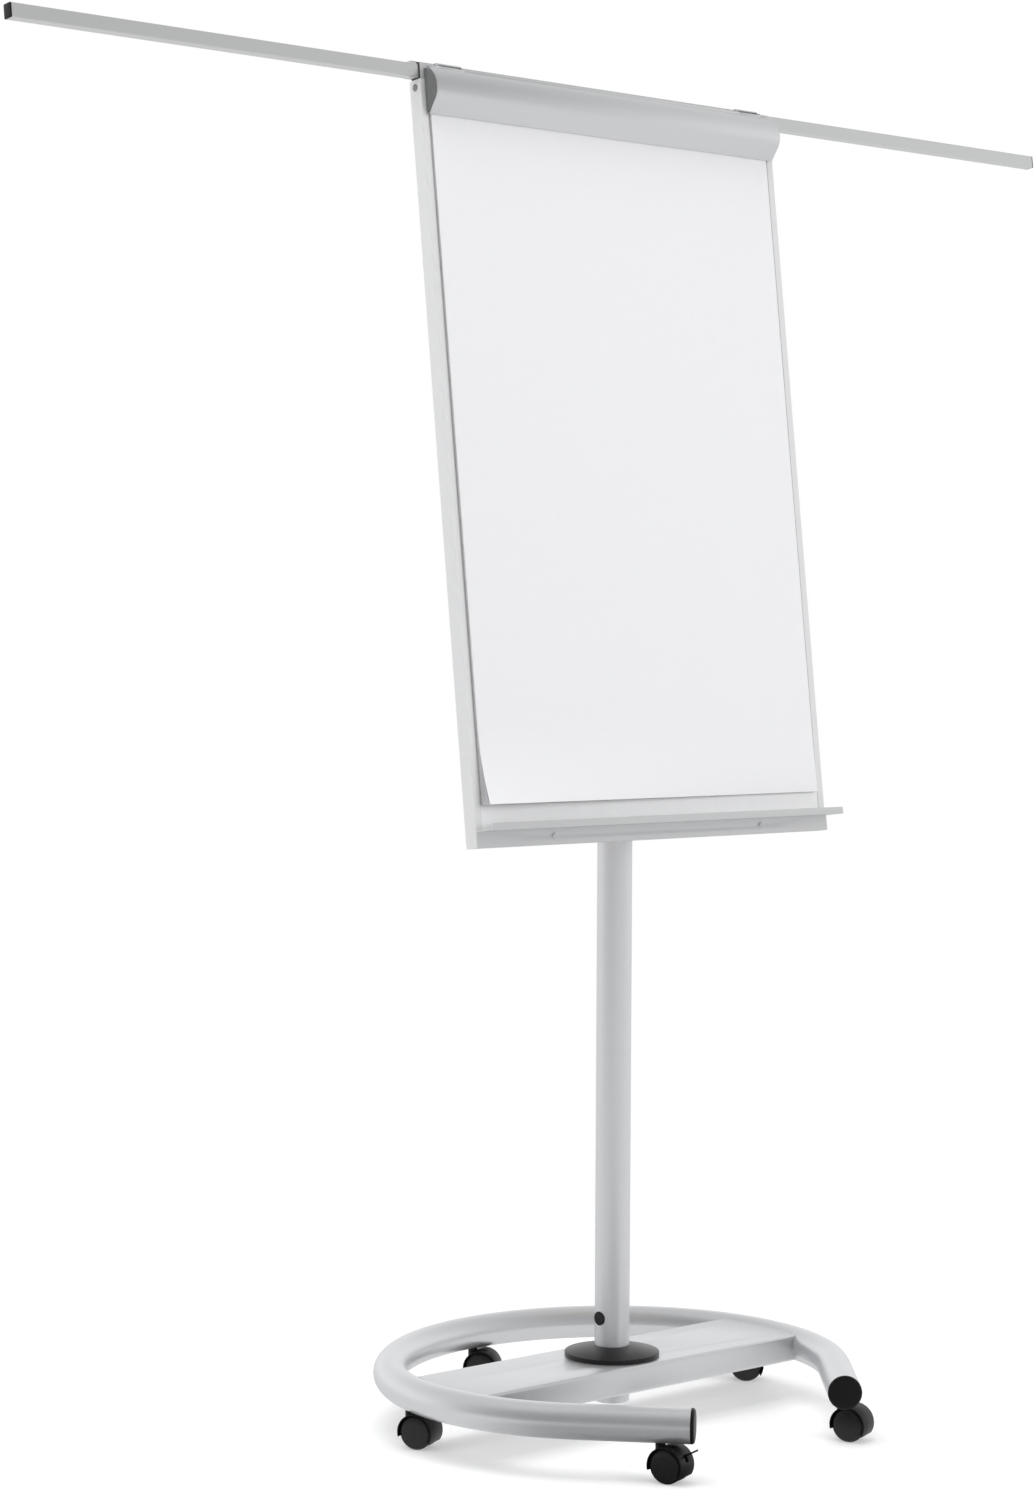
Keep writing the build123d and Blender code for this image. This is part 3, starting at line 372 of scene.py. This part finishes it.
def makeFinish(name):
    look = finishes[name]
    material = bpy.data.materials.new(name)
    material.use_nodes = True
    nodes, links = material.node_tree.nodes, material.node_tree.links
    surface = nodes["Principled BSDF"]
    surface.inputs["Metallic"].default_value = look["metallic"]
    surface.inputs["Specular IOR Level"].default_value = look["specular"]
    place = nodes.new("ShaderNodeTexCoord")
    stretch = nodes.new("ShaderNodeMapping")
    stretch.inputs["Scale"].default_value = look.get("stretch", (1, 1, 1))
    links.new(place.outputs["Object"], stretch.inputs["Vector"])
    speckle = nodes.new("ShaderNodeTexNoise")
    speckle.inputs["Scale"].default_value = look["grain"]
    speckle.inputs["Detail"].default_value = texture["detail"]
    ramp = nodes.new("ShaderNodeValToRGB")
    base = Vector(look["colour"])
    for stop, position, sign in zip(ramp.color_ramp.elements, texture["rampEnds"], (-1, 1)):
        stop.position = position
        stop.color = (*(base * (1 + sign * look["wander"])), 1)
    rough = nodes.new("ShaderNodeMapRange")
    spread = texture["drawnSpread"] if "stretch" in look else texture["spread"]
    rough.inputs["To Min"].default_value = look["roughness"] - spread
    rough.inputs["To Max"].default_value = look["roughness"] + spread
    peel = nodes.new("ShaderNodeTexNoise")
    peel.inputs["Scale"].default_value = look["peel"]
    bump = nodes.new("ShaderNodeBump")
    bump.inputs["Strength"].default_value = look["peelDepth"] * texture["bumpStrength"]
    bump.inputs["Distance"].default_value = texture["bumpHeight"]
    links.new(stretch.outputs["Vector"], speckle.inputs["Vector"])
    links.new(place.outputs["Object"], peel.inputs["Vector"])
    links.new(speckle.outputs["Fac"], ramp.inputs["Fac"])
    links.new(ramp.outputs["Color"], surface.inputs["Base Color"])
    links.new(speckle.outputs["Fac"], rough.inputs["Value"])
    links.new(rough.outputs["Result"], surface.inputs["Roughness"])
    links.new(peel.outputs["Fac"], bump.inputs["Height"])
    links.new(bump.outputs["Normal"], surface.inputs["Normal"])
    return material


made = {name: makeFinish(name) for name in finishes}

slotFinish = {
    "ring_paint": "silverLacquer", "crossbar_paint": "silverLacquer", "post_paint": "silverLacquer",
    "column_steel": "polishedSteel", "carrier_steel": "blackLacquer", "disc_black": "discBlack",
    "black_plastic": "blackPlastic", "wheel_plastic": "wheelPlastic", "grey_plastic": "greyPlastic",
    "zinc_steel": "zincPlate", "frame_aluminium": "satinAluminium", "cover_aluminium": "coverAluminium",
    "arm_aluminium": "armAluminium", "panel_enamel": "whiteEnamel", "core_board": "particleBoard",
    "paper": "paper", "card": "greyCard",
}

# nodes whose finish differs from that of their slot
nodeFinish = {
    "stiles": "stileAluminium", "hinge_plates": "coverAluminium", "header_end_plugs": "palePlastic",
    "arm_guides": "darkGreyPlastic", "stile_buttons": "buttonPlastic", "post_plugs": "glossBlack",
    "tray_screws": "polishedSteel",
}

slotOf = {entry["node"]: entry["material_slot"] for entry in frame["record"]["subparts"]}
for nodeName, node in frame["nodes"].items():
    node.data.materials.clear()
    node.data.materials.append(made[nodeFinish.get(nodeName, slotFinish[slotOf[nodeName]])])
    for face in node.data.polygons:
        face.use_smooth = True
print("finishes ready")


softening = {
    "mergeWithin": 0.00002,
    "flatAngle": 0.6,
    "cornerAngle": 32,
    "segments": 2,
    "smoothAngle": 35,
}

# the small roundings that extrusions and mouldings have, by node
softEdges = {
    "header": 0.0007,
    "lower_rail": 0.0007,
    "cross_rails": 0.0007,
    "tray": 0.0005,
    "clamp_cover": 0.0004,
    "cover_end_plates": 0.0005,
    "arm_guides": 0.0004,
    "header_end_plugs": 0.0006,
    "left_arm_plugs": 0.0005,
    "right_arm_plugs": 0.0005,
    "carrier": 0.0008,
    "carrier_bolts": 0.0005,
    "crossbar": 0.0005,
    "base_disc": 0.0005,
    "clamp_collar": 0.0005,
    "clamp_knob": 0.0007,
    "hinge_plates": 0.0003,
    "stile_buttons": 0.0006,
    "tray_screws": 0.0007,
    "ring_end_caps": 0.0006,
    "caster_sockets": 0.0004,
    "right_brake_lever": 0.0005,
    "front_left_brake_lever": 0.0005,
}
casterNames = ("back", "left", "right", "front_left", "front_right")
for casterName in casterNames:
    softEdges[f"{casterName}_caster_housing"] = 0.0005


def softenNode(name, rounding):
    node = frame["nodes"][name]
    piece = node.copy()
    piece.data = node.data.copy()
    piece.name = name + "_soft"
    bpy.context.collection.objects.link(piece)
    bpy.ops.object.select_all(action="DESELECT")
    piece.select_set(True)
    bpy.context.view_layer.objects.active = piece
    bpy.ops.object.mode_set(mode="EDIT")
    bpy.ops.mesh.select_all(action="SELECT")
    bpy.ops.mesh.remove_doubles(threshold=softening["mergeWithin"])
    bpy.ops.mesh.customdata_custom_splitnormals_clear()
    bpy.ops.mesh.select_all(action="SELECT")
    bpy.ops.mesh.dissolve_limited(angle_limit=math.radians(softening["flatAngle"]))
    bpy.ops.object.mode_set(mode="OBJECT")
    edge = piece.modifiers.new("soft edges", "BEVEL")
    edge.width = rounding
    edge.segments = softening["segments"]
    edge.limit_method = "ANGLE"
    edge.angle_limit = math.radians(softening["cornerAngle"])
    edge.miter_outer = "MITER_ARC"
    bpy.ops.object.modifier_apply(modifier="soft edges")
    bpy.ops.object.shade_smooth_by_angle(angle=math.radians(softening["smoothAngle"]))
    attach(piece, node["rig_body"])
    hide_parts(name)


for nodeName, rounding in softEdges.items():
    softenNode(nodeName, rounding)
print("edges softened")


# a glued block of paper with a few loose leaves that curl at the foot
paper = {
    "columns": 40,
    "rows": 100,
    "block": {"back": 0.0, "thickness": 0.0026, "bow": 0.0004, "curl": 0.0006, "rightCurl": 0.0},
    "leaves": [
        {"back": 0.0027, "thickness": 0.00022, "bow": 0.0006, "curl": 0.0030, "rightCurl": 0.0004},
        {"back": 0.0030, "thickness": 0.00022, "bow": 0.0009, "curl": 0.0075, "rightCurl": 0.0010},
        {"back": 0.0033, "thickness": 0.00022, "bow": 0.0012, "curl": 0.0145, "rightCurl": 0.0018},
    ],
    "curlHeight": 0.10,
    "curlPower": 2,
    "leftPower": 1.4,
    "rightPower": 3,
    "rightBow": 0.3,
    "smoothAngle": 40,
    "edgeTurn": 0.5,
}


def padSpace():
    low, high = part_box("paper_pad")
    deep, tall = high.y - low.y, high.z - low.z
    sine, cosine = upBoard.y, upBoard.z
    thickness = (deep * cosine - tall * sine) / (cosine ** 2 - sine ** 2)
    length = (tall - thickness * sine) / cosine
    foot = Vector((low.x, low.y, low.z + thickness * sine)) - outBoard * thickness
    return foot, high.x - low.x, length, thickness


def addLeaf(name, settings):
    foot, width, length, thickness = padSpace()
    bpy.ops.object.select_all(action="DESELECT")
    bpy.ops.mesh.primitive_grid_add(x_subdivisions=paper["columns"], y_subdivisions=paper["rows"], size=1)
    leaf = bpy.context.object
    leaf.name = name
    for point in leaf.data.vertices:
        across, up = point.co.x + 0.5, point.co.y + 0.5
        left = 1 - across
        fall = 1 - up
        corner = max(0, 1 - up * length / paper["curlHeight"]) ** paper["curlPower"]
        out = settings["back"] + settings["bow"] * fall * (paper["rightBow"] + (1 - paper["rightBow"]) * left)
        out += settings["curl"] * corner * left ** paper["leftPower"]
        out += settings["rightCurl"] * corner * across ** paper["rightPower"]
        point.co = foot + Vector((across * width, 0, 0)) + upBoard * (up * length) + outBoard * out
    body = leaf.modifiers.new("thickness", "SOLIDIFY")
    body.thickness = settings["thickness"]
    body.offset = 1
    bpy.ops.object.modifier_apply(modifier="thickness")
    bpy.ops.object.shade_smooth_by_angle(angle=math.radians(paper["smoothAngle"]))
    leaf.data.materials.append(made["paper"])
    leaf.data.materials.append(made["pageEdgeShade"])
    # the block's cut edge faces take the painted edge shade
    for face in leaf.data.polygons:
        cutEdge = abs(face.normal.dot(outBoard)) < paper["edgeTurn"]
        face.material_index = 1 if name == "pad_block" and cutEdge else 0
    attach(leaf, "board")
    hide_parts("paper_pad")


addLeaf("pad_block", paper["block"])
for count, leafSettings in enumerate(paper["leaves"]):
    addLeaf(f"pad_leaf_{count + 1}", leafSettings)
print("paper ready")


# a wheel is turned once, then copied to every place
wheelShape = {
    "steps": 72,
    "start": 0.001,
    "mergeWithin": 0.00001,
    "smoothAngle": 28,
    # radius and height, from the middle of the outer face round to the middle of the inner one
    "profile": (
        (0, 0.0067), (0.0070, 0.00664), (0.0130, 0.0064), (0.0180, 0.0059), (0.0196, 0.0056),
        (0.0199, 0.0053), (0.0203, 0.0055), (0.0212, 0.0051), (0.0219, 0.0043), (0.0220, 0.0024),
        (0.0230, 0.0022), (0.0237, 0.0018), (0.0240, 0.0008), (0.0240, -0.0050), (0.0237, -0.0060),
        (0.0228, -0.0067), (0.0, -0.0067),
    ),
}


def turnWheel(settings):
    profile = [Vector((radius, 0, height)) for radius, height in settings["profile"]]
    bpy.ops.object.select_all(action="DESELECT")
    bpy.ops.mesh.primitive_plane_add(size=settings["start"], location=profile[0])
    wheel = bpy.context.object
    bpy.ops.object.mode_set(mode="EDIT")
    bpy.ops.mesh.merge(type="CENTER")
    for start, end in zip(profile, profile[1:]):
        bpy.ops.mesh.extrude_region_move(TRANSFORM_OT_translate={"value": end - start})
    bpy.ops.mesh.select_all(action="SELECT")
    bpy.ops.mesh.spin(steps=settings["steps"], angle=math.tau, center=(0, 0, 0), axis=(0, 0, 1))
    bpy.ops.mesh.select_all(action="SELECT")
    bpy.ops.mesh.remove_doubles(threshold=settings["mergeWithin"])
    bpy.ops.mesh.normals_make_consistent(inside=False)
    bpy.ops.object.mode_set(mode="OBJECT")
    bpy.ops.object.transform_apply(location=True, rotation=False, scale=False)
    return wheel


def boxMiddle(nodeName):
    low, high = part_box(nodeName)
    return (Vector(low) + Vector(high)) / 2


patternWheel = turnWheel(wheelShape)
for casterName in casterNames:
    for side, otherSide in (("left", "right"), ("right", "left")):
        nodeName = f"{casterName}_caster_{side}_wheel"
        middle = boxMiddle(nodeName)
        outward = (middle - boxMiddle(f"{casterName}_caster_{otherSide}_wheel")).normalized()
        wheel = patternWheel.copy()
        wheel.data = patternWheel.data.copy()
        wheel.name = f"{casterName}_{side}_wheel_turned"
        bpy.context.collection.objects.link(wheel)
        turn = outward.to_track_quat("Z", "Y").to_matrix().to_4x4()
        wheel.data.transform(Matrix.Translation(middle) @ turn)
        wheel.data.materials.append(made["wheelPlastic"])
        bpy.ops.object.select_all(action="DESELECT")
        wheel.select_set(True)
        bpy.context.view_layer.objects.active = wheel
        bpy.ops.object.shade_smooth_by_angle(angle=math.radians(wheelShape["smoothAngle"]))
        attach(wheel, frame["nodes"][nodeName]["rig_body"])
        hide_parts(nodeName)
bpy.data.objects.remove(patternWheel)
print("wheels ready")


# painted shade: a black tube laid along the thin gap where the crossbar's left end is let into the ring,
# standing in for the shadow in that gap
gapShade = {
    "ringRadius": 0.298,
    "centreShift": -0.0025,
    "thickness": 0.0007,
    "points": 300,
    "cornerGap": 0.003,
    "roundness": 2,
}


def addGapShade(settings):
    ringLow, ringHigh = (Vector(corner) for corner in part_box("base_ring"))
    barLow, barHigh = (Vector(corner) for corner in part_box("crossbar"))
    tube = (ringHigh.z - ringLow.z) / 2
    drop = barHigh.z - (ringHigh.z + ringLow.z) / 2
    reach = settings["ringRadius"] - math.sqrt(tube ** 2 - drop ** 2)
    middleX = ringLow.x + tube + settings["ringRadius"]
    middleY = (barLow.y + barHigh.y) / 2 + settings["centreShift"]
    middle = Vector((middleX, middleY, barHigh.z))
    bpy.ops.object.select_all(action="DESELECT")
    bpy.ops.mesh.primitive_circle_add(vertices=settings["points"], radius=reach, location=middle)
    line = bpy.context.object
    line.name = "crossbar_gap_shade"
    bpy.ops.object.transform_apply(location=True, rotation=False, scale=False)
    bpy.ops.object.mode_set(mode="EDIT")
    bpy.ops.mesh.select_all(action="DESELECT")
    bpy.ops.object.mode_set(mode="OBJECT")
    for point in line.data.vertices:
        inside = barLow.y + settings["cornerGap"] < point.co.y < barHigh.y - settings["cornerGap"]
        point.select = not (inside and point.co.x < middle.x)
    bpy.ops.object.mode_set(mode="EDIT")
    bpy.ops.mesh.delete(type="VERT")
    bpy.ops.object.mode_set(mode="OBJECT")
    bpy.ops.object.convert(target="CURVE")
    line.data.bevel_depth = settings["thickness"]
    line.data.bevel_resolution = settings["roundness"]
    line.data.use_fill_caps = True
    bpy.ops.object.convert(target="MESH")
    # painted shade: the tube is gloss black for the gap's shadow
    line.data.materials.append(made["glossBlack"])
    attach(line, frame["nodes"]["crossbar"]["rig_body"])


addGapShade(gapShade)
print("seam ready")
